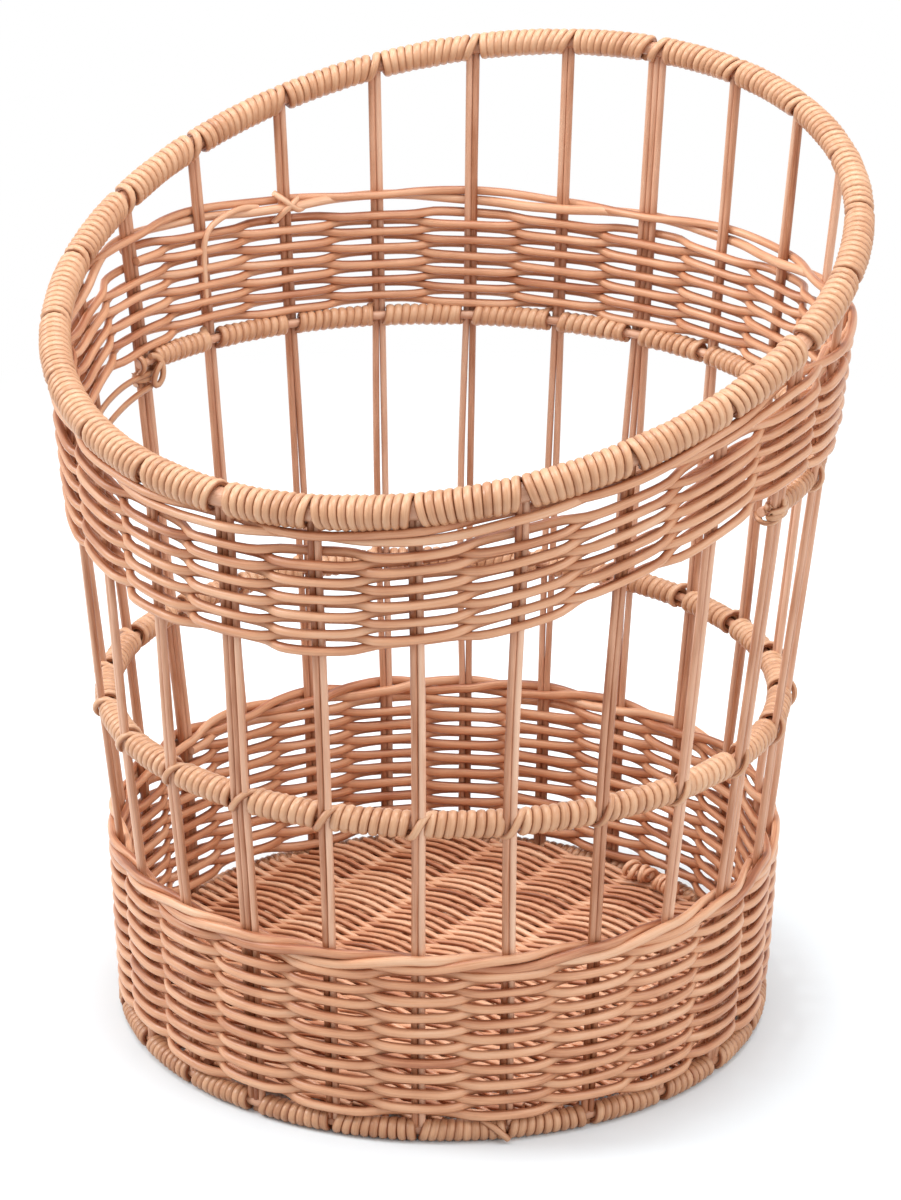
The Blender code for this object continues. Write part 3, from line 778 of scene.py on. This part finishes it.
stranded("floor_strands", floor_strands(), ["floor_mat"], "cane_weave", weave_cane, 0.0032, 0.0026, 8)
coils = [edge_coil(65.5, 70.5), edge_coil(72.5, 79.0)]
made("floor_edge_coils", coils, CLOSE_WINDING, ["floor_mat"], "cane_weave", **{
    "Width": 0.0032, "Thickness": 0.0022, "Sides": 8, "Material": weave_cane, "Core Radius": 0.0021,
    "Turn Width": 0.0036, "Points Per Turn": 16, "Foot Gap": 0.001, "Top Gap": 0.001, "Crossing": 0.0,
    "Outside Share": 0.5, "Unevenness": 0.0048, "Seed": 3.0})
for stick in range(STICKS):
    x = (stick - (STICKS - 1) / 2) * STICK_SPACING
    half = math.sqrt(MAT_EDGE ** 2 - (abs(x) + 0.002) ** 2)
    y = np.linspace(-half, half, 20)
    points = np.stack([np.full(20, x), y + AXIS_Y, np.full(20, MAT_HEIGHT)], -1)
    stranded("floor_rod_%d" % (stick + 1), [(points, UPRIGHT, 1.0, rng.uniform(0, 1))],
             ["floor_stick_%d" % (stick + 1)], "cane_rods", rod_cane, FLOOR_STICK, FLOOR_STICK)


# ---------------------------------------------------------------- studio

WHITE = linear("FFFFFF")
PAPER_LIT = "C4C2C0"              # the paper's colour, as it throws light back on the basket
PAPER_SEEN = "E8EFF3"             # the paper's colour, as it is seen
SHADOW_ENDS = (0.45, 0.9)         # between these distances from the origin it turns plain white
PAPER_HALF = 6.0
AMBIENT = 0.78


def seen_straight(tree):
    """1 for what the camera sees, straight or in something shiny or clear; 0 for light that falls on the basket."""
    ray = add(tree, "ShaderNodeLightPath").outputs
    shiny = calc(tree, "ADD", ray["Is Camera Ray"], ray["Is Glossy Ray"])
    return calc(tree, "ADD", shiny, ray["Is Transmission Ray"], use_clamp=True).outputs[0]


def studio_floor():
    """Matt white paper. It throws less light back on the basket than the camera sees of it, and away from the
    basket's shadow the camera sees it plain white."""
    material, tree = empty_material("white_paper_sweep")
    seen = seen_straight(tree)
    colour = add(tree, "ShaderNodeMix", {0: seen, 6: linear(PAPER_LIT), 7: linear(PAPER_SEEN)}, data_type="RGBA")
    paper = add(tree, "ShaderNodeBsdfDiffuse", {"Color": colour.outputs[2]})
    place = add(tree, "ShaderNodeTexCoord").outputs["Object"]
    far = vector(tree, "LENGTH", place).outputs["Value"]
    away = add(tree, "ShaderNodeMapRange", {"Value": far, "From Min": SHADOW_ENDS[0], "From Max": SHADOW_ENDS[1]},
               interpolation_type="SMOOTHSTEP")
    white = add(tree, "ShaderNodeEmission", {"Color": WHITE, "Strength": 1.0})
    sheet = add(tree, "ShaderNodeMixShader", {0: calc(tree, "MULTIPLY", away, seen), 1: paper, 2: white})
    add(tree, "ShaderNodeOutputMaterial", {"Surface": sheet})
    mesh = bpy.data.meshes.new("studio_floor")
    corners = [(x * PAPER_HALF, y * PAPER_HALF, 0) for x, y in ((-1, -1), (1, -1), (1, 1), (-1, 1))]
    mesh.from_pydata(corners, [], [(0, 1, 2, 3)])
    mesh.materials.append(material)
    floor = bpy.data.objects.new("studio_floor", mesh)
    bpy.context.scene.collection.objects.link(floor)


def softbox(name, place, aim, size, power):
    lamp = bpy.data.lights.new(name, "AREA")
    lamp.size = size
    lamp.energy = power
    item = bpy.data.objects.new(name, lamp)
    bpy.context.scene.collection.objects.link(item)
    item.location = place
    item.rotation_euler = (aim - place).to_track_quat("-Z", "Y").to_euler()


def white_studio():
    world = bpy.data.worlds.new("white_studio")
    world.use_nodes = True
    tree = world.node_tree
    tree.nodes.clear()
    strength = add(tree, "ShaderNodeMapRange", {"Value": seen_straight(tree), "To Min": AMBIENT, "To Max": 1.0})
    sky = add(tree, "ShaderNodeBackground", {"Color": WHITE, "Strength": strength})
    add(tree, "ShaderNodeOutputWorld", {"Surface": sky})
    bpy.context.scene.world = world


studio_floor()
white_studio()
middle = Vector((0, 0, 0.2))
right = Vector((math.cos(CAMERA_AZIMUTH), math.sin(CAMERA_AZIMUTH), 0))
back = Vector((-math.sin(CAMERA_AZIMUTH), math.cos(CAMERA_AZIMUTH), 0))
up = Vector((0, 0, 1))
softbox("key_softbox", middle - right * 2.2 + back * 0.1 + up * 1.5, middle, 0.9, 38)
softbox("fill_softbox", middle + right * 1.7 - back * 1.4 + up * 1.0, middle, 1.4, 15.5)
softbox("top_softbox", middle + back * 0.1 + up * 2.0, middle, 1.4, 35)
bpy.context.scene.view_settings.view_transform = "Standard"

lens = bpy.data.cameras.new("camera")
lens.lens = LENS
lens.sensor_width = SENSOR
camera = bpy.data.objects.new("camera", lens)
bpy.context.scene.collection.objects.link(camera)
direction = Vector((math.sin(CAMERA_AZIMUTH) * math.cos(CAMERA_ELEVATION),
                    -math.cos(CAMERA_AZIMUTH) * math.cos(CAMERA_ELEVATION), math.sin(CAMERA_ELEVATION)))
facing = direction.to_track_quat("Z", "Y").to_matrix().to_4x4()
camera.matrix_world = (Matrix.Translation(CAMERA_TARGET + direction * CAMERA_DISTANCE) @ facing
                       @ Matrix.Rotation(CAMERA_ROLL, 4, "Z"))
bpy.context.scene.camera = camera
